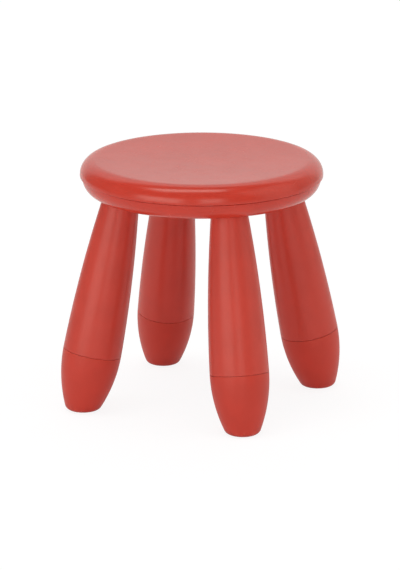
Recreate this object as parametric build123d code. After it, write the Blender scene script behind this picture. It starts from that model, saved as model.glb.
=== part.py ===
from build123d import *
import os
from math import cos, radians, sin, sqrt, tan

# A round children's stool in moulded plastic: a two-shell seat on four splayed, tapered legs, each with a
# separate foot. It stands on z = 0 with its axis on Z. Lengths are millimetres, angles are degrees.

# Seat, seen from outside
SEAT_HEIGHT = 300.0       # floor to the crest of the seat's rim
SEAT_DIAMETER = 292.4     # at the widest place, just above the seam
DISH_DEPTH = 3.0          # middle of the seat below the crest of its rim
CREST_RADIUS = 40.0       # gentle round over the crest, from the dish to the edge
CREST_TURN = 4.0          # slope at which it passes into the edge
EDGE_RADIUS = 18.5        # round of the upper edge, down to the widest place
RIM_BAND = 1.4            # upright band of the rim below that round
BASE_DEPTH = 19.45        # seam down to the underside
SKIRT_INSET = 11.9        # lower edge of the skirt inside its upper edge
SEAM_STEP = 2.8           # upper shell stands proud of the skirt by this much
SEAM_ROUND = 0.8          # rounded lip of the upper shell at the seam
SEAM_GAP = 1.1            # shadow gap between the lip and the skirt
EDGE_BREAK = 0.3          # small round on the other visible edges at the seams
GAP_DEPTH = 1.4           # depth of the shadow gaps at all the seams
PANEL_ROOM = 18.0         # socket mouths in to the shallow panel in the middle of the underside
PANEL_DEPTH = 1.0

# Seat, inside
SHELL_WALL = 3.0          # wall of both seat shells
LEDGE = 1.75              # flat of the base that the upper shell sits on
PLUG_HEIGHT = 5.4         # rim of the base that plugs into the upper shell
PLUG_WALL = 2.6
WEB = 2.4                 # thickness of the stiffening webs and rings
HUB_RADIUS = 20.0         # ring where the webs meet
BASE_WEB_HEIGHT = 9.0     # webs of the base above its plate
TOP_WEB_DEPTH = 11.0      # webs of the upper shell below the middle of the seat
RING_ROOM = 15.0          # sockets in to the stiffening ring of the upper shell
PAD_HEIGHT = 3.4          # middle of the upper shell's underside down to the roofs of the sockets
PAD_RADIUS = 12.0         # round pads of the upper shell on those roofs
PAD_WALL = 3.0

# Legs
LEG_NAMES = ["rear_right", "rear_left", "front_left", "front_right"]
LEG_SPLAY = 11.4          # lean of each leg outward from the upright
LEG_MARGIN = 10.1         # lower edge of the skirt in to the neck of the leg, at the underside
LEG_RADIUS = 35.3         # at the seam between leg and foot
NECK_RADIUS = 20.4        # at the shoulder, inside the socket's mouth
LEG_GAP = 0.4             # shadow gap between leg and foot
LEG_BULGE = 3.0           # swell of the leg's outline at half its length
LEG_WALL = 3.0
SEATING_DEPTH = 8.0       # underside of the seat up to the shoulder, along the leg
SPIGOT_STEP = 2.6         # width of the shoulder
SPIGOT_WALL = 2.6
SLIT = 2.4                # slits that let the four fingers of the spigot spring
SLIT_ROOT = 2.0           # unslit length above the shoulder
SLIT_TURNS = (45, 135)    # directions of the slits, away from the key
SOCKET_WALL = 3.0
SOCKET_CAP = 2.4          # roof of the socket above the spigot

# Feet
FOOT_LENGTH = 72.6        # floor to the seam, along the leg
SOLE_RADIUS = 19.6        # at the floor, before the sole is rounded
SOLE_ROUND = 8.0
SOLE_WALL = 4.0
FOOT_WALL = 3.0
COLLAR_HEIGHT = 14.0      # collar of the foot inside the leg
COLLAR_WALL = 2.8
COLLAR_ROOM = 2.0         # bore of the leg past the end of the collar

# Fits
FIT_GAP = 0.15            # clearance between walls that plug into each other
SNAP = 0.6                # height of the snap beads
SNAP_LENGTH = 2.4
KEY_WIDTH = 4.0           # keys that let foot, leg and socket go together one way only
KEY_HEIGHT = 1.2

# Levels and radii of the seat
SEAT_RADIUS = SEAT_DIAMETER / 2
TURN = radians(CREST_TURN)
CREST_GROWTH = CREST_RADIUS - EDGE_RADIUS
EDGE_CENTRE = (SEAT_RADIUS - EDGE_RADIUS, SEAT_HEIGHT - CREST_RADIUS + CREST_GROWTH * cos(TURN))
CREST_CENTRE = (EDGE_CENTRE[0] - CREST_GROWTH * sin(TURN), SEAT_HEIGHT - CREST_RADIUS)
LIP_Z = EDGE_CENTRE[1] - RIM_BAND
SEAM_Z = LIP_Z - SEAM_ROUND
UNDERSIDE_Z = SEAM_Z - BASE_DEPTH
PLATE_Z = UNDERSIDE_Z + SHELL_WALL
DISH_Z = SEAT_HEIGHT - DISH_DEPTH
SKIRT_RADIUS = SEAT_RADIUS - SEAM_STEP
SKIRT_EDGE_Z = SEAM_Z - SEAM_GAP
SKIRT_TOP_Z = SKIRT_EDGE_Z - EDGE_BREAK
LEDGE_RADIUS = SKIRT_RADIUS - GAP_DEPTH
PLUG_RADIUS = LEDGE_RADIUS - LEDGE
PLUG_TOP_Z = SEAM_Z + PLUG_HEIGHT
PLUG_SNAP_Z = SEAM_Z + PLUG_HEIGHT / 2
SOCKET_ROOF_Z = DISH_Z - SHELL_WALL - PAD_HEIGHT

# Dish: an arc about the axis that meets the round of the crest smoothly
DISH_RADIUS = (CREST_CENTRE[0] ** 2 / DISH_DEPTH + DISH_DEPTH) / 2 - CREST_RADIUS
DISH_CENTRE = (0, DISH_Z + DISH_RADIUS)

# Skirt: an arc that leaves the seam upright
SKIRT_DROP = SKIRT_TOP_Z - UNDERSIDE_Z
SKIRT_ARC = (SKIRT_DROP ** 2 + SKIRT_INSET ** 2) / (2 * SKIRT_INSET)
SKIRT_CENTRE = (SKIRT_RADIUS - SKIRT_ARC, SKIRT_TOP_Z)

# Axis of a leg, and radii and places along it measured up from the floor
LEAN = radians(LEG_SPLAY)
AXIS_AT_UNDERSIDE = SKIRT_RADIUS - SKIRT_INSET - LEG_MARGIN - NECK_RADIUS
AXIS_AT_FLOOR = AXIS_AT_UNDERSIDE + UNDERSIDE_Z * tan(LEAN)
AXIS_AT_ROOF = AXIS_AT_FLOOR - SOCKET_ROOF_Z * tan(LEAN)
LEG_LOW = FOOT_LENGTH + EDGE_BREAK
SHOULDER = UNDERSIDE_Z / cos(LEAN) + SEATING_DEPTH
LEG_MIDDLE = (FOOT_LENGTH + SHOULDER) / 2
LEG_MIDDLE_RADIUS = (LEG_RADIUS + NECK_RADIUS) / 2 + LEG_BULGE
SPIGOT_RADIUS = NECK_RADIUS - SPIGOT_STEP
SPIGOT_RISE = (SPIGOT_RADIUS + SNAP) * sin(LEAN)
SPIGOT_TOP = (SOCKET_ROOF_Z - SOCKET_CAP - SPIGOT_RISE) / cos(LEAN) - FIT_GAP
SPIGOT_SNAP = SPIGOT_TOP - SNAP_LENGTH
SPIGOT_KEY_TOP = SPIGOT_SNAP - SNAP_LENGTH
SOCKET_GROWTH = FIT_GAP + SOCKET_WALL
SOCKET_RADIUS = SPIGOT_RADIUS + SNAP + SOCKET_GROWTH
LEG_BORE = LEG_RADIUS - LEG_WALL
COLLAR_RADIUS = LEG_BORE - FIT_GAP
COLLAR_TOP = FOOT_LENGTH + COLLAR_HEIGHT
COLLAR_SNAP = FOOT_LENGTH + COLLAR_HEIGHT / 2

# Foot: an arc that leaves the seam along the leg and runs on past the floor until the sole is cut
FOOT_EDGE = FOOT_LENGTH - LEG_GAP
FOOT_RUN = FOOT_EDGE - EDGE_BREAK
STOP_RADIUS = LEG_RADIUS - GAP_DEPTH
FOOT_TAPER = LEG_RADIUS - SOLE_RADIUS
FOOT_ARC = (FOOT_RUN ** 2 + FOOT_TAPER ** 2) / (2 * FOOT_TAPER)
FOOT_CENTRE = (LEG_RADIUS - FOOT_ARC, FOOT_RUN)
FOOT_TIP = -LEG_RADIUS * tan(LEAN)

# Places round the stool: legs between the axes, webs of the upper shell on them
ANGLE_STEP = 360 / len(LEG_NAMES)
AXIS_ANGLES = [ANGLE_STEP * k for k in range(len(LEG_NAMES))]
LEG_ANGLES = [angle + ANGLE_STEP / 2 for angle in AXIS_ANGLES]
LEG_PLACE = Location((AXIS_AT_FLOOR, 0, 0), (0, -LEG_SPLAY, 0))


def arc(centre, start, end):
    """Arc of an outline from start the short way round centre to end."""
    radius = sqrt((start[0] - centre[0]) ** 2 + (start[1] - centre[1]) ** 2)
    toward = Vector(start[0] + end[0] - 2 * centre[0], start[1] + end[1] - 2 * centre[1]).normalized() * radius
    return ThreePointArc(start, (centre[0] + toward.X, centre[1] + toward.Y), end)


def turned(*edges):
    """Solid turned about Z from a closed outline of (radius, height) edges."""
    return revolve(Plane.XZ * make_face(list(edges)), Axis.Z)


def column(radius, low, high):
    """Upright cylinder on Z from low to high."""
    return Pos(0, 0, (low + high) / 2) * Cylinder(radius, high - low)


def ring(radius, wall, low, high):
    """Upright tube on Z of that outer radius and wall."""
    return column(radius, low, high) - column(radius - wall, low, high)


def web(start, end, low, high):
    """Upright web along +X."""
    return Pos((start + end) / 2, 0, (low + high) / 2) * Box(end - start, WEB, high - low)


def spread(piece, angles):
    """Copies of a piece turned about Z to each angle."""
    return [Rot(0, 0, angle) * piece for angle in angles]


def snap_bead(radius, place, gap=0.0):
    """Ring bead on a wall of that radius, grown by gap for the groove that takes it."""
    half = SNAP_LENGTH / 2 + gap
    root = radius - SNAP
    side = radius + gap
    return turned(Polyline((root, place - half), (side, place - half), (side + SNAP, place),
                           (side, place + half), (root, place + half), close=True))


def key(radius, low, high, gap=0.0):
    """Key on the side of a wall of that radius that faces the stool's axis, grown by gap for its slot."""
    depth = SNAP + KEY_HEIGHT + gap
    middle = SNAP - radius - depth / 2
    return Pos(middle, 0, (low + high + gap) / 2) * Box(depth, KEY_WIDTH + 2 * gap, high - low + gap)


def crown(depth):
    """Dish, crest and rounded edge of the seat, moved in by depth, with the start and end of their outline."""
    toward = Vector(DISH_CENTRE[0] - CREST_CENTRE[0], DISH_CENTRE[1] - CREST_CENTRE[1]).normalized()
    radius = CREST_RADIUS - depth
    inner = (CREST_CENTRE[0] + radius * toward.X, CREST_CENTRE[1] + radius * toward.Y)
    outer = (CREST_CENTRE[0] + radius * sin(TURN), CREST_CENTRE[1] + radius * cos(TURN))
    middle = (0, DISH_Z - depth)
    widest = (SEAT_RADIUS - depth, EDGE_CENTRE[1])
    edges = [arc(DISH_CENTRE, middle, inner), arc(CREST_CENTRE, inner, outer), arc(EDGE_CENTRE, outer, widest)]
    return edges, middle, widest


def seat_top():
    """Upper shell of the seat, with webs, a ring and pads moulded on its underside."""
    edges, middle, widest = crown(0)
    band = (SEAT_RADIUS, LIP_Z)
    lip = (SEAT_RADIUS - SEAM_ROUND, SEAM_Z)
    whole = turned(
        *edges, Line(widest, band), arc((lip[0], LIP_Z), band, lip), Polyline(lip, (0, SEAM_Z), middle))

    edges, middle, widest = crown(SHELL_WALL / 2)
    core = turned(*edges, Polyline(widest, (widest[0], SEAM_Z), (0, SEAM_Z), middle))

    edges, middle, widest = crown(SHELL_WALL)
    rim_bore = PLUG_RADIUS + FIT_GAP
    hollow = turned(*edges, Polyline(widest, (widest[0], SEAM_Z), (0, SEAM_Z), middle))
    hollow &= column(rim_bore, SEAM_Z, SEAT_HEIGHT)
    hollow += column(rim_bore, SEAM_Z, PLUG_TOP_Z + FIT_GAP)

    low = DISH_Z - TOP_WEB_DEPTH
    stiffening = ring(HUB_RADIUS, WEB, low, SEAT_HEIGHT)
    socket_edge = AXIS_AT_ROOF - SOCKET_RADIUS / cos(LEAN)
    stiffening += ring(socket_edge - RING_ROOM, WEB, low, SEAT_HEIGHT)
    stiffening += spread(web(HUB_RADIUS - WEB, EDGE_CENTRE[0], low, SEAT_HEIGHT), AXIS_ANGLES)
    pad = Pos(AXIS_AT_ROOF, 0, 0) * ring(PAD_RADIUS, PAD_WALL, SOCKET_ROOF_Z, SEAT_HEIGHT)
    stiffening += spread(pad, LEG_ANGLES)
    return whole - hollow + (stiffening & core) - snap_bead(PLUG_RADIUS, PLUG_SNAP_Z, FIT_GAP)


def leg_side(gap):
    """Leg's outline from the seam to the shoulder, grown by gap."""
    return ThreePointArc((LEG_RADIUS + gap, LEG_LOW), (LEG_MIDDLE_RADIUS + gap, LEG_MIDDLE),
                         (NECK_RADIUS + gap, SHOULDER))


def leg_room():
    """Space that a leg takes in its socket, with the clearance of the fit, placed along +X."""
    spigot = SPIGOT_RADIUS + FIT_GAP
    top = SPIGOT_TOP + FIT_GAP
    room = turned(
        leg_side(FIT_GAP),
        Polyline((NECK_RADIUS + FIT_GAP, SHOULDER), (spigot, SHOULDER), (spigot, top), (0, top), (0, LEG_LOW),
                 (LEG_RADIUS + FIT_GAP, LEG_LOW)))
    room += snap_bead(SPIGOT_RADIUS, SPIGOT_SNAP, FIT_GAP)
    room += key(SPIGOT_RADIUS, SHOULDER, SPIGOT_KEY_TOP, FIT_GAP)
    return LEG_PLACE * room


def socket():
    """Outside of a leg socket, cut off at the underside and at its flat roof, placed along +X."""
    neck = NECK_RADIUS + SOCKET_GROWTH
    step = SHOULDER + SOCKET_WALL
    top = (SOCKET_ROOF_Z + SOCKET_RADIUS * sin(LEAN)) / cos(LEAN)
    blank = LEG_PLACE * turned(
        leg_side(SOCKET_GROWTH),
        Polyline((neck, SHOULDER), (neck, step), (SOCKET_RADIUS, step), (SOCKET_RADIUS, top), (0, top),
                 (0, LEG_LOW), (LEG_RADIUS + SOCKET_GROWTH, LEG_LOW)))
    return blank & column(SEAT_RADIUS, UNDERSIDE_Z, SOCKET_ROOF_Z)


def seat_base():
    """Lower shell of the seat: skirt, plate, plug rim, webs and the leg sockets."""
    panel = AXIS_AT_UNDERSIDE - NECK_RADIUS - PANEL_ROOM
    lower = (SKIRT_RADIUS - SKIRT_INSET, UNDERSIDE_Z)
    widest = (SKIRT_RADIUS, SKIRT_TOP_Z)
    edge = (SKIRT_RADIUS - EDGE_BREAK, SKIRT_EDGE_Z)
    whole = turned(
        Polyline((0, UNDERSIDE_Z + PANEL_DEPTH), (panel, UNDERSIDE_Z + PANEL_DEPTH),
                 (panel + PANEL_DEPTH, UNDERSIDE_Z), lower),
        arc(SKIRT_CENTRE, lower, widest),
        arc((edge[0], widest[1]), widest, edge),
        Polyline(edge, (LEDGE_RADIUS, SKIRT_EDGE_Z), (LEDGE_RADIUS, SEAM_Z), (PLUG_RADIUS, SEAM_Z),
                 (PLUG_RADIUS, PLUG_TOP_Z), (0, PLUG_TOP_Z), (0, UNDERSIDE_Z + PANEL_DEPTH)))

    inner_arc = SKIRT_ARC - SHELL_WALL
    inner_low = (SKIRT_CENTRE[0] + sqrt(inner_arc ** 2 - (SKIRT_TOP_Z - PLATE_Z) ** 2), PLATE_Z)
    inner_high = (SKIRT_RADIUS - SHELL_WALL, SKIRT_TOP_Z)
    hollow = turned(
        arc(SKIRT_CENTRE, inner_low, inner_high),
        Polyline(inner_high, (inner_high[0], PLUG_TOP_Z), (0, PLUG_TOP_Z), (0, PLATE_Z), inner_low))
    hollow &= column(PLUG_RADIUS - PLUG_WALL, PLATE_Z, PLUG_TOP_Z)

    web_low = PLATE_Z - PANEL_DEPTH
    web_top = PLATE_Z + BASE_WEB_HEIGHT
    stiffening = ring(HUB_RADIUS, WEB, web_low, web_top)
    stiffening += spread(web(HUB_RADIUS - WEB, SKIRT_RADIUS, web_low, web_top), AXIS_ANGLES)
    stiffening += spread(web(HUB_RADIUS - WEB, AXIS_AT_ROOF, web_low, web_top), LEG_ANGLES)

    shell = whole - hollow + (stiffening & whole) + snap_bead(PLUG_RADIUS, PLUG_SNAP_Z)
    shell += spread(socket(), LEG_ANGLES)
    return shell - spread(leg_room(), LEG_ANGLES)


def leg():
    """Hollow tapered leg with a slit, barbed and keyed spigot on top, placed along +X."""
    bore_top = COLLAR_TOP + COLLAR_ROOM
    throat = SPIGOT_RADIUS - SPIGOT_WALL
    ceiling = SHOULDER - LEG_WALL
    edge = (LEG_RADIUS - EDGE_BREAK, FOOT_LENGTH)
    side = (LEG_RADIUS, LEG_LOW)
    body = turned(
        arc((edge[0], side[1]), edge, side),
        leg_side(0),
        Polyline((NECK_RADIUS, SHOULDER), (SPIGOT_RADIUS, SHOULDER), (SPIGOT_RADIUS, SPIGOT_TOP),
                 (throat, SPIGOT_TOP), (throat, ceiling), (NECK_RADIUS - LEG_WALL, ceiling)),
        ThreePointArc((NECK_RADIUS - LEG_WALL, ceiling), (LEG_MIDDLE_RADIUS - LEG_WALL, LEG_MIDDLE),
                      (LEG_BORE, bore_top)),
        Polyline((LEG_BORE, bore_top), (LEG_BORE, FOOT_LENGTH), edge))
    body += snap_bead(SPIGOT_RADIUS, SPIGOT_SNAP)
    body += key(SPIGOT_RADIUS, SHOULDER, SPIGOT_KEY_TOP)
    slit_low = SHOULDER + SLIT_ROOT
    slit_span = 2 * NECK_RADIUS
    slit = Pos(0, 0, (slit_low + SPIGOT_TOP) / 2) * Box(slit_span, SLIT, SPIGOT_TOP - slit_low)
    body -= spread(slit, SLIT_TURNS)
    body -= snap_bead(COLLAR_RADIUS, COLLAR_SNAP, FIT_GAP)
    body -= key(COLLAR_RADIUS, FOOT_LENGTH, COLLAR_TOP, FIT_GAP)
    return LEG_PLACE * body


def foot_form(depth, sole_z, *upper):
    """Foot's outline moved in by depth, with a flat, rounded sole at sole_z and the given upper edges, along +X."""
    tip = (FOOT_CENTRE[0] + sqrt((FOOT_ARC - depth) ** 2 - (FOOT_RUN - FOOT_TIP) ** 2), FOOT_TIP)
    side = (LEG_RADIUS - depth, FOOT_RUN)
    form = turned(arc(FOOT_CENTRE, tip, side), *upper, Polyline((0, COLLAR_TOP), (0, FOOT_TIP), tip))
    form = LEG_PLACE * form
    form = split(form, bisect_by=Plane.XY.offset(sole_z), keep=Keep.TOP)
    return fillet(form.edges().group_by(Axis.Z)[0], SOLE_ROUND - depth)


def foot():
    """Hollow bullet-shaped foot with a keyed collar for the leg, flat on the floor, placed along +X."""
    edge = (LEG_RADIUS - EDGE_BREAK, FOOT_EDGE)
    side = (LEG_RADIUS, FOOT_RUN)
    outside = foot_form(
        0, 0, arc((edge[0], side[1]), side, edge),
        Polyline(edge, (STOP_RADIUS, FOOT_EDGE), (STOP_RADIUS, FOOT_LENGTH), (COLLAR_RADIUS, FOOT_LENGTH),
                 (COLLAR_RADIUS, COLLAR_TOP), (0, COLLAR_TOP)))
    wall = LEG_RADIUS - FOOT_WALL
    inside = foot_form(
        FOOT_WALL, SOLE_WALL, Polyline((wall, FOOT_RUN), (wall, COLLAR_TOP), (0, COLLAR_TOP)))
    inside &= LEG_PLACE * column(COLLAR_RADIUS - COLLAR_WALL, FOOT_TIP, COLLAR_TOP)
    fittings = snap_bead(COLLAR_RADIUS, COLLAR_SNAP) + key(COLLAR_RADIUS, FOOT_LENGTH, COLLAR_TOP)
    return outside - inside + LEG_PLACE * fittings


def main():
    """Write one STEP file for each piece."""
    os.makedirs("parts", exist_ok=True)
    pieces = {"seat_top": seat_top(), "seat_base": seat_base()}
    legs = spread(leg(), LEG_ANGLES)
    feet = spread(foot(), LEG_ANGLES)
    for name, one_leg, one_foot in zip(LEG_NAMES, legs, feet):
        pieces["leg_" + name] = one_leg
        pieces["foot_" + name] = one_foot
    for name, piece in pieces.items():
        export_step(piece, "parts/" + name + ".step")


main()
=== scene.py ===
import logging
import math
from dataclasses import dataclass
from enum import Enum

import bmesh
import bpy
from mathutils import Matrix, Vector

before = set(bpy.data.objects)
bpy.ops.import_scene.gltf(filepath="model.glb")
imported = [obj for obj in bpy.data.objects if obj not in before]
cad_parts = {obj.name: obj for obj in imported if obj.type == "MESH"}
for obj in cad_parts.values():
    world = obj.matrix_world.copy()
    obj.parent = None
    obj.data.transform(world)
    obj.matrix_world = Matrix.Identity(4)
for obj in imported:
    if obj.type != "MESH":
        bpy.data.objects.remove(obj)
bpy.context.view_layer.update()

# Children's stool in red moulded plastic: finishes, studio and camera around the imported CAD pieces.
# Lengths are metres, angles are degrees, colours are linear.

log = logging.getLogger("stool")

Colour = tuple[float, float, float]
Point = tuple[float, float, float]
Span = tuple[float, float]

RED: Colour = (0.59, 0.041, 0.0235)
RUBBED_RED: Colour = (0.65, 0.095, 0.065)


class Slot(Enum):
    """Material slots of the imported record."""

    SEAT = "seat"
    LEG = "leg"
    FOOT = "foot"


class Corner(Enum):
    """Corners of the stool, each with the direction of its leg from the stool's axis."""

    REAR_RIGHT = 45.0
    REAR_LEFT = 135.0
    FRONT_LEFT = 225.0
    FRONT_RIGHT = 315.0

    @property
    def suffix(self) -> str:
        """Ending of the names of this corner's CAD nodes."""
        return self.name.lower()


@dataclass
class NodeSketch:
    """A node tree that is filled in by short calls.

    Args:
        tree: The tree of a material or of the world.
    """

    tree: bpy.types.NodeTree

    @classmethod
    def start(cls, owner: bpy.types.Material | bpy.types.World) -> "NodeSketch":
        """Begin with an empty tree.

        Args:
            owner: Material or world that gets the nodes.

        Returns:
            The sketch of its tree.
        """
        owner.use_nodes = True
        owner.node_tree.nodes.clear()
        return cls(owner.node_tree)

    def add(self, kind: str, settings: dict[str, object] | None = None,
            inputs: dict[str | int, object] | None = None) -> bpy.types.Node:
        """Add a node.

        Args:
            kind: Type of the node without its ShaderNode prefix.
            settings: Properties of the node.
            inputs: Values of its input sockets, or output sockets to link to them.

        Returns:
            The new node.
        """
        node = self.tree.nodes.new("ShaderNode" + kind)
        for name, value in (settings or {}).items():
            setattr(node, name, value)
        for key, value in (inputs or {}).items():
            if isinstance(value, bpy.types.NodeSocket):
                self.tree.links.new(value, node.inputs[key])
            else:
                node.inputs[key].default_value = value
        return node

    def math(self, operation: str, *values: float | bpy.types.NodeSocket) -> bpy.types.NodeSocket:
        """Result of a Math node with numbers or sockets, in order."""
        return self.add("Math", {"operation": operation}, dict(enumerate(values))).outputs[0]

    def dot(self, vector: bpy.types.NodeSocket, axis: Vector) -> bpy.types.NodeSocket:
        """Length of a vector along an axis."""
        return self.add("VectorMath", {"operation": "DOT_PRODUCT"}, {0: vector, 1: axis}).outputs["Value"]

    def ramp(self, value: bpy.types.NodeSocket, span: Span, low: float = 0.0,
             high: float = 1.0) -> bpy.types.NodeSocket:
        """Smooth change from low to high while a value crosses a span.

        Args:
            value: Socket to read.
            span: Values that give low and high.
            low: Result at the start.
            high: Result at the end.

        Returns:
            The output socket.
        """
        settings = {"interpolation_type": "SMOOTHSTEP", "clamp": True}
        inputs = {"Value": value, "From Min": span[0], "From Max": span[1], "To Min": low, "To Max": high}
        return self.add("MapRange", settings, inputs).outputs["Result"]

    def noise(self, place: bpy.types.NodeSocket, size: float, detail: float) -> bpy.types.NodeSocket:
        """Noise between 0 and 1, with the size of its largest blotches and the octaves of finer ones."""
        return self.add("TexNoise", {}, {"Vector": place, "Scale": 1 / size, "Detail": detail}).outputs["Fac"]

    def blend(self, share: bpy.types.NodeSocket, first: object, second: object) -> bpy.types.NodeSocket:
        """Mixture of two colours or sockets, with a share of the second."""
        # Inputs 6 and 7 and output 2 are the node's sockets for colours.
        return self.add("Mix", {"data_type": "RGBA"}, {0: share, 6: first, 7: second}).outputs[2]

    def plain_white(self, mirror: float | bpy.types.NodeSocket) -> bpy.types.NodeSocket:
        """Share of plain white for the ray that looks: all for the camera and glass, some for reflections.

        Args:
            mirror: Share for reflections.

        Returns:
            The output socket.
        """
        path = self.add("LightPath").outputs
        straight = self.math("MAXIMUM", path["Is Camera Ray"], path["Is Transmission Ray"])
        return self.math("MAXIMUM", straight, self.math("MULTIPLY", path["Is Glossy Ray"], mirror))


@dataclass(frozen=True)
class PieceAxis:
    """Long axis of a piece.

    Args:
        foot: Point on the axis at the floor.
        lean: Lean of the axis from the upright, towards the stool's axis.
        turn: Direction of the foot from the stool's axis.
    """

    foot: Point = (0.0, 0.0, 0.0)
    lean: float = 0.0
    turn: float = 0.0

    @property
    def direction(self) -> Vector:
        """Unit vector up the axis."""
        lean, turn = math.radians(self.lean), math.radians(self.turn)
        return Vector((-math.sin(lean) * math.cos(turn), -math.sin(lean) * math.sin(turn), math.cos(lean)))

    def height(self, point: Vector) -> float:
        """Place of a point along the axis."""
        return (point - Vector(self.foot)).dot(self.direction)

    def span(self, piece: bpy.types.Object) -> Span:
        """Lowest and highest place of a piece along the axis."""
        places = [self.height(piece.matrix_world @ vertex.co) for vertex in piece.data.vertices]
        return min(places), max(places)

    def measure(self, sketch: NodeSketch, place: bpy.types.NodeSocket) -> bpy.types.NodeSocket:
        """Place along the axis, in a material's node tree."""
        start = Vector(self.foot).dot(self.direction)
        return sketch.math("SUBTRACT", sketch.dot(place, self.direction), start)


@dataclass(frozen=True)
class RubBand:
    """A band round a piece where its edge is rubbed.

    Args:
        middle: Place of the band along the piece's axis.
        reach: Distance from the middle at which the rubbing ends.
        share: How much the middle is rubbed, from 0 to 1.
    """

    middle: float
    reach: float
    share: float


@dataclass(frozen=True)
class MouldedPlastic:
    """Plastic from a mould: fine grain, uneven colour and polish, hairline scratches and rubbed edges.

    Args:
        slot: Material slot it fills.
        roughness: Roughness of the untouched surface.
        colour: Colour of the plastic.
        rubbed: Colour where an edge is rubbed through its gloss.
        ior: Index of refraction.
        skin: Share of smooth moulded skin over the duller plastic.
        skin_roughness: Roughness of that skin.
        blotch_size: Size of the blotches of colour.
        tint_spread: Change of colour between the blotches, as a share.
        cloud_size: Size of the clouds in the polish.
        polish_spread: Change of roughness between the clouds.
        cloud_levels: Noise that the blotches and clouds run between.
        patch_size: Size of the patches of rubbing.
        patch_levels: Noise at which a patch starts and is whole.
        rub_dulling: Roughness added where an edge is rubbed.
        scratch_runs: Squeeze of the noise for each direction of scratches, thin against long.
        scratch_levels: Noise at which a scratch starts and is whole.
        scratch_dulling: Roughness added along a scratch.
        grain_height: Height of the fine moulded grain.
        grain_size: Size of its bumps.
        sink_height: Height of the slow waves that shrinking leaves.
        sink_size: Length of those waves.
    """

    slot: Slot
    roughness: float
    colour: Colour = RED
    rubbed: Colour = RUBBED_RED
    ior: float = 1.46
    skin: float = 0.0
    skin_roughness: float = 0.26
    blotch_size: float = 0.035
    tint_spread: float = 0.035
    cloud_size: float = 0.02
    polish_spread: float = 0.05
    cloud_levels: Span = (0.3, 0.7)
    patch_size: float = 0.006
    patch_levels: Span = (0.42, 0.68)
    rub_dulling: float = 0.12
    scratch_runs: tuple[Point, ...] = ((2200.0, 45.0, 70.0), (60.0, 1900.0, 45.0))
    scratch_levels: Span = (0.64, 0.72)
    scratch_dulling: float = 0.07
    grain_height: float = 0.000012
    grain_size: float = 0.0009
    sink_height: float = 0.000008
    sink_size: float = 0.05

    def rubbing(self, sketch: NodeSketch, place: bpy.types.NodeSocket, axis: PieceAxis,
                bands: tuple[RubBand, ...]) -> bpy.types.NodeSocket:
        """Patchy rubbing along the bands of a piece.

        Args:
            sketch: The material's node tree.
            place: Socket with the coordinates.
            axis: Axis that the bands lie on.
            bands: Where the piece is rubbed.

        Returns:
            The output socket, from 0 to 1.
        """
        height = axis.measure(sketch, place)
        patches = sketch.ramp(sketch.noise(place, self.patch_size, detail=5.0), self.patch_levels)
        total: float | bpy.types.NodeSocket = 0.0
        for band in bands:
            away = sketch.math("ABSOLUTE", sketch.math("SUBTRACT", height, band.middle))
            total = sketch.math("ADD", total, sketch.ramp(away, (0.0, band.reach), band.share, 0.0))
        return sketch.math("MULTIPLY", total, patches)

    def scratches(self, sketch: NodeSketch, place: bpy.types.NodeSocket) -> bpy.types.NodeSocket:
        """Sparse hairline scratches in a few directions.

        Args:
            sketch: The material's node tree.
            place: Socket with the coordinates.

        Returns:
            The output socket, from 0 to 1.
        """
        marks: float | bpy.types.NodeSocket = 0.0
        for run in self.scratch_runs:
            drawn = sketch.add("VectorMath", {"operation": "MULTIPLY"}, {0: place, 1: run}).outputs["Vector"]
            scratch = sketch.ramp(sketch.noise(drawn, size=1.0, detail=2.0), self.scratch_levels)
            marks = sketch.math("MAXIMUM", marks, scratch)
        return marks

    def tint(self, sketch: NodeSketch, place: bpy.types.NodeSocket,
             rub: bpy.types.NodeSocket) -> bpy.types.NodeSocket:
        """Colour with soft blotches and rubbed edges.

        Args:
            sketch: The material's node tree.
            place: Socket with the coordinates.
            rub: Socket with the rubbing.

        Returns:
            The output socket.
        """
        deep = (*(part * (1 - self.tint_spread) for part in self.colour), 1.0)
        pale = (*(part * (1 + self.tint_spread) for part in self.colour), 1.0)
        blotches = sketch.ramp(sketch.noise(place, self.blotch_size, detail=3.0), self.cloud_levels)
        return sketch.blend(rub, sketch.blend(blotches, deep, pale), (*self.rubbed, 1.0))

    def polish(self, sketch: NodeSketch, place: bpy.types.NodeSocket,
               rub: bpy.types.NodeSocket) -> bpy.types.NodeSocket:
        """Roughness with cloudy polish, scratches and dull rubbed edges.

        Args:
            sketch: The material's node tree.
            place: Socket with the coordinates.
            rub: Socket with the rubbing.

        Returns:
            The output socket.
        """
        half = self.polish_spread / 2
        cloud = sketch.noise(place, self.cloud_size, detail=4.0)
        clouds = sketch.ramp(cloud, self.cloud_levels, self.roughness - half, self.roughness + half)
        scratched = sketch.math("MULTIPLY_ADD", self.scratches(sketch, place), self.scratch_dulling, clouds)
        return sketch.math("MULTIPLY_ADD", rub, self.rub_dulling, scratched)

    def relief(self, sketch: NodeSketch, place: bpy.types.NodeSocket) -> bpy.types.NodeSocket:
        """Normal with the moulded grain on top of slow shrinking waves.

        Args:
            sketch: The material's node tree.
            place: Socket with the coordinates.

        Returns:
            The output socket.
        """
        sinks = sketch.noise(place, self.sink_size, detail=1.0)
        waves = sketch.add("Bump", {}, {"Strength": 1.0, "Distance": self.sink_height, "Height": sinks})
        bumps = sketch.noise(place, self.grain_size, detail=2.0)
        grain = sketch.add("Bump", {}, {
            "Strength": 1.0, "Distance": self.grain_height, "Height": bumps,
            "Normal": waves.outputs["Normal"]})
        return grain.outputs["Normal"]

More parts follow.
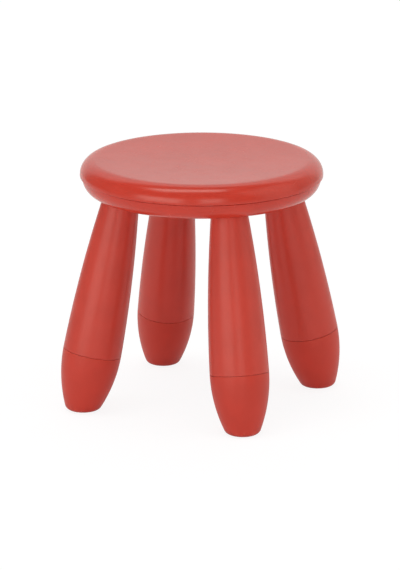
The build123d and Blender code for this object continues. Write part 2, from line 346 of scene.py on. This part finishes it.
    def material(self, label: str, axis: PieceAxis, bands: tuple[RubBand, ...]) -> bpy.types.Material:
        """Make the material of one piece.

        Args:
            label: Name of the piece.
            axis: Axis that its bands lie on.
            bands: Where the piece is rubbed.

        Returns:
            The new material.
        """
        made = bpy.data.materials.new(f"{self.slot.value}_plastic_{label}")
        sketch = NodeSketch.start(made)
        place = sketch.add("TexCoord").outputs["Object"]
        rub = self.rubbing(sketch, place, axis, bands)
        relief = self.relief(sketch, place)
        shader = sketch.add("BsdfPrincipled", {}, {
            "Base Color": self.tint(sketch, place, rub), "Roughness": self.polish(sketch, place, rub),
            "IOR": self.ior, "Normal": relief, "Coat Weight": self.skin,
            "Coat Roughness": self.skin_roughness, "Coat IOR": self.ior, "Coat Normal": relief})
        sketch.add("OutputMaterial", {}, {"Surface": shader.outputs[0]})
        return made

    def paint(self, piece: bpy.types.Object, axis: PieceAxis, bands: tuple[RubBand, ...]) -> None:
        """Put this finish on a piece.

        Args:
            piece: The CAD node.
            axis: Axis that its bands lie on.
            bands: Where the piece is rubbed.
        """
        material = self.material(piece.name, axis, bands)
        for slot in piece.material_slots:
            slot.material = material


@dataclass
class Seat:
    """Upper and lower shell of the seat.

    Args:
        finish: Finish of both shells.
        crest_drop: Crest of the rim down to the middle of its rubbed shoulder.
        crest_reach: Half the height of that shoulder's band.
        crest_rub: How much that shoulder is rubbed.
        edge_reach: Half the height of the bands at the seam and at the skirt's lower edge.
        edge_rub: How much those edges are rubbed.
    """

    finish: MouldedPlastic
    crest_drop: float = 0.009
    crest_reach: float = 0.006
    crest_rub: float = 0.12
    edge_reach: float = 0.0016
    edge_rub: float = 0.5

    def dress(self) -> list[bpy.types.Object]:
        """Give both shells their finish.

        Returns:
            The dressed pieces.
        """
        top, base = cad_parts["seat_top"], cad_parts["seat_base"]
        axis = PieceAxis()
        seam, crest = axis.span(top)
        underside, _ = axis.span(base)
        lip = RubBand(seam, self.edge_reach, self.edge_rub)
        shoulder = RubBand(crest - self.crest_drop, self.crest_reach, self.crest_rub)
        lower_edge = RubBand(underside, self.edge_reach, self.edge_rub)
        self.finish.paint(top, axis, (lip, shoulder))
        self.finish.paint(base, axis, (lip, lower_edge))
        return [top, base]


@dataclass
class Leg:
    """One leg with its foot.

    Args:
        corner: Corner of the stool that it stands at.
        finish: Finish of the leg.
        foot_finish: Finish of the foot.
        stance: Stool's axis to the middle of the sole.
        lean: Lean of the leg from the upright.
        edge_reach: Half the height of the band at the seam.
        edge_rub: How much that seam's edges are rubbed.
        sole_reach: Height of the scuffed rim of the sole.
        sole_rub: How much that rim is rubbed.
    """

    corner: Corner
    finish: MouldedPlastic
    foot_finish: MouldedPlastic
    stance: float = 0.15339
    lean: float = 11.4
    edge_reach: float = 0.0016
    edge_rub: float = 0.5
    sole_reach: float = 0.007
    sole_rub: float = 0.6

    @property
    def axis(self) -> PieceAxis:
        """Axis of the leg and its foot.

        Returns:
            The axis, up from the middle of the sole.
        """
        turn = math.radians(self.corner.value)
        foot = (self.stance * math.cos(turn), self.stance * math.sin(turn), 0.0)
        return PieceAxis(foot, self.lean, self.corner.value)

    def dress(self) -> list[bpy.types.Object]:
        """Give the leg and the foot their finishes.

        Returns:
            The dressed pieces.
        """
        leg, foot = (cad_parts[f"{kind}_{self.corner.suffix}"] for kind in ("leg", "foot"))
        seam, _ = self.axis.span(leg)
        edge = RubBand(seam, self.edge_reach, self.edge_rub)
        sole = RubBand(0.0, self.sole_reach, self.sole_rub)
        self.finish.paint(leg, self.axis, (edge,))
        self.foot_finish.paint(foot, self.axis, (edge, sole))
        return [leg, foot]


@dataclass
class PhotoCamera:
    """Camera at the photograph's viewpoint.

    Args:
        azimuth: Turn round the stool, to the right of its front.
        pitch: Look down from the level.
        roll: Turn about the line of sight.
        distance: Camera to the aim.
        aim: Point in the middle of the picture, before the turn round the stool.
        focal_length: Focal length in millimetres on the usual sensor.
        far_clip: Distance that it sees to.
    """

    azimuth: float = 26.318
    pitch: float = 15.983
    roll: float = -0.023
    distance: float = 4.732
    aim: Point = (-0.00198, 0.0, 0.14165)
    focal_length: float = 246.87
    far_clip: float = 100.0

    def place(self) -> bpy.types.Object:
        """Add the camera and make it the scene's own.

        Returns:
            The camera.
        """
        pitch = math.radians(self.pitch)
        roll = math.radians(self.roll)
        forward = Vector((0, math.cos(pitch), -math.sin(pitch)))
        level = Vector((1, 0, 0))
        upward = level.cross(forward)
        right = level * math.cos(roll) + upward * math.sin(roll)
        top = upward * math.cos(roll) - level * math.sin(roll)
        turned = Matrix((right, top, -forward)).transposed().to_4x4()
        turned.translation = Vector(self.aim) - forward * self.distance
        data = bpy.data.cameras.new("photo_camera")
        data.lens = self.focal_length
        data.clip_end = self.far_clip
        camera = bpy.data.objects.new("photo_camera", data)
        camera.matrix_world = Matrix.Rotation(math.radians(self.azimuth), 4, "Z") @ turned
        bpy.context.scene.collection.objects.link(camera)
        bpy.context.scene.camera = camera
        return camera


@dataclass(frozen=True)
class SoftLight:
    """One soft panel of the studio, far away and flat, with blurred edges.

    Args:
        name: Name of the panel.
        heading: Direction from the stool, to the right of the camera.
        height: Height above the horizon.
        half_width: Half its width, as an angle.
        half_tall: Half its height, as an angle.
        strength: Brightness, where 1 is white.
        blur: Share of the half size over which its edges fade.
        spin: Turn of the panel in its own plane.
        ahead: Least share of a ray towards the panel that can meet it.
    """

    name: str
    heading: float
    height: float
    half_width: float
    half_tall: float
    strength: float
    blur: float = 0.4
    spin: float = 0.0
    ahead: float = 0.001

    def axes(self, camera_azimuth: float) -> tuple[Vector, Vector, Vector]:
        """Directions of the panel's middle, of its width and of its height.

        Args:
            camera_azimuth: Heading of the camera in the stool's frame.

        Returns:
            Three unit vectors.
        """
        turn = math.radians(camera_azimuth + self.heading)
        rise = math.radians(self.height)
        spin = math.radians(self.spin)
        middle = Vector((math.sin(turn) * math.cos(rise), -math.cos(turn) * math.cos(rise), math.sin(rise)))
        level = Vector((math.cos(turn), math.sin(turn), 0))
        across = level * math.cos(spin) + level.cross(middle) * math.sin(spin)
        return middle, across, across.cross(middle)

    def glow(self, sketch: NodeSketch, ray: bpy.types.NodeSocket,
             camera_azimuth: float) -> bpy.types.NodeSocket:
        """Brightness of the panel along a ray.

        Args:
            sketch: The world's node tree.
            ray: Direction of the ray.
            camera_azimuth: Heading of the camera in the stool's frame.

        Returns:
            The output socket.
        """
        toward, side, rise = (sketch.dot(ray, axis) for axis in self.axes(camera_azimuth))
        depth = sketch.math("MAXIMUM", toward, self.ahead)
        glow = sketch.math("MULTIPLY", sketch.math("GREATER_THAN", toward, self.ahead), self.strength)
        for offset, half in ((side, self.half_width), (rise, self.half_tall)):
            reach = math.tan(math.radians(half))
            place = sketch.math("ABSOLUTE", sketch.math("DIVIDE", offset, depth))
            edge = sketch.ramp(place, (reach * (1 - self.blur), reach * (1 + self.blur)), 1.0, 0.0)
            glow = sketch.math("MULTIPLY", glow, edge)
        glow.node.label = self.name
        return glow


@dataclass(frozen=True)
class WhiteFloor:
    """White floor: plain white with the stool's shadow to the camera, a lit surface to the light.

    Args:
        half: Half the side of the floor.
        cells: Cells along a side.
        white: Level of the floor as the light sees it.
        glow: White that the camera sees, even in a shadow.
        shade: Level of the floor's own shading on top of that white.
    """

    half: float = 2.4
    cells: int = 8
    white: float = 0.85
    glow: float = 0.88
    shade: float = 0.15

    def material(self, mirrored: float, light_colour: Colour) -> bpy.types.Material:
        """Make the floor's material.

        Args:
            mirrored: Share of plain white in reflections.
            light_colour: Colour of the light, which the camera sees as white.

        Returns:
            The new material.
        """
        made = bpy.data.materials.new("white_floor")
        sketch = NodeSketch.start(made)
        grey = (self.white, self.white, self.white, 1)
        balanced = (*(self.shade / part for part in light_colour), 1)
        lit = sketch.add("BsdfDiffuse", {}, {"Color": grey}).outputs[0]
        shade = sketch.add("BsdfDiffuse", {}, {"Color": balanced}).outputs[0]
        white = sketch.add("Emission", {}, {"Strength": self.glow}).outputs[0]
        seen = sketch.add("AddShader", {}, {0: shade, 1: white}).outputs[0]
        mix = sketch.add("MixShader", {}, {0: sketch.plain_white(mirrored), 1: lit, 2: seen}).outputs[0]
        sketch.add("OutputMaterial", {}, {"Surface": mix})
        return made

    def build(self, mirrored: float, light_colour: Colour) -> bpy.types.Object:
        """Add the floor under the stool.

        Args:
            mirrored: Share of plain white in reflections.
            light_colour: Colour of the light, which the camera sees as white.

        Returns:
            The floor.
        """
        mesh = bpy.data.meshes.new("floor")
        shape = bmesh.new()
        bmesh.ops.create_grid(shape, x_segments=self.cells, y_segments=self.cells, size=self.half)
        shape.to_mesh(mesh)
        shape.free()
        mesh.materials.append(self.material(mirrored, light_colour))
        floor = bpy.data.objects.new("floor", mesh)
        bpy.context.scene.collection.objects.link(floor)
        return floor


@dataclass
class Studio:
    """White floor and backdrop in a dimmer room with soft panels.

    Args:
        camera_azimuth: Heading of the camera in the stool's frame.
        floor: The floor.
        mirrored: Share of the white floor and backdrop in reflections; the rest is the lit room.
        room_level: Brightness of the room between its panels.
        light_colour: Warm white of the room and its panels.
        backdrop: White backdrop behind the stool.
        panels: Soft panels.
    """

    camera_azimuth: float
    floor: WhiteFloor = WhiteFloor()
    mirrored: float = 0.5
    room_level: float = 0.32
    light_colour: Colour = (1.0, 0.95, 0.86)
    # Name, heading, height, half width, half height and strength of each panel.
    backdrop: SoftLight = SoftLight("backdrop", 180, 20, 38, 36, 1.0, blur=0.3)
    panels: tuple[SoftLight, ...] = (
        SoftLight("overhead", -60, 80, 10.5, 20.5, 3.9, blur=0.2, spin=25),
        SoftLight("front_left", -40, 0, 22, 20, 2.55, blur=0.35),
        SoftLight("front_right", 9, 2, 11, 20, 2.15),
        SoftLight("right_wall", 78, 4, 21, 20, 0.67),
        SoftLight("right_wall_top", 78, 40, 24, 18, 0.7),
        SoftLight("right_back", 128, 12, 22, 25, 0.27),
        SoftLight("left_wall", -82, 6, 18, 24, 0.16),
        SoftLight("backdrop_low", 180, 16, 38, 26, 0.4),
        SoftLight("backdrop_top", 180, 49, 36, 10, 1.12),
    )

    def build_floor(self) -> bpy.types.Object:
        """Add the floor, as this studio lights it."""
        return self.floor.build(self.mirrored, self.light_colour)

    def build_room(self) -> bpy.types.World:
        """Add the room: white to the camera, soft panels in a dimmer room to everything else.

        Returns:
            The world.
        """
        world = bpy.data.worlds.new("room")
        bpy.context.scene.world = world
        sketch = NodeSketch.start(world)
        ray = sketch.add("TexCoord").outputs["Generated"]
        level: float | bpy.types.NodeSocket = self.room_level
        for panel in self.panels:
            level = sketch.math("ADD", level, panel.glow(sketch, ray, self.camera_azimuth))
        warm = (*self.light_colour, 1)
        studio = sketch.add("Background", {}, {"Color": warm, "Strength": level}).outputs[0]
        white = sketch.add("Background", {}, {"Color": (1, 1, 1, 1), "Strength": 1.0}).outputs[0]
        behind = self.backdrop.glow(sketch, ray, self.camera_azimuth)
        shown = sketch.plain_white(sketch.math("MULTIPLY", behind, self.mirrored))
        mix = sketch.add("MixShader", {}, {0: shown, 1: studio, 2: white}).outputs[0]
        sketch.add("OutputWorld", {}, {"Surface": mix})
        return world


def main() -> None:
    """Dress the stool, then build its studio and camera."""
    logging.basicConfig(level=logging.INFO, format="%(message)s")
    gloss = MouldedPlastic(Slot.SEAT, roughness=0.2)
    satin = MouldedPlastic(Slot.LEG, roughness=0.5, skin=0.35, grain_height=0.000024)
    matt = MouldedPlastic(Slot.FOOT, roughness=0.42, grain_height=0.00005)
    for assembly in (Seat(gloss), *(Leg(corner, satin, matt) for corner in Corner)):
        for piece in assembly.dress():
            log.info("dressed %s", piece.name)
    camera = PhotoCamera()
    studio = Studio(camera.azimuth)
    log.info("added %s", studio.build_floor().name)
    log.info("added %s", studio.build_room().name)
    log.info("added %s", camera.place().name)
    bpy.context.scene.view_settings.view_transform = "Standard"


if __name__ == "__main__":
    main()
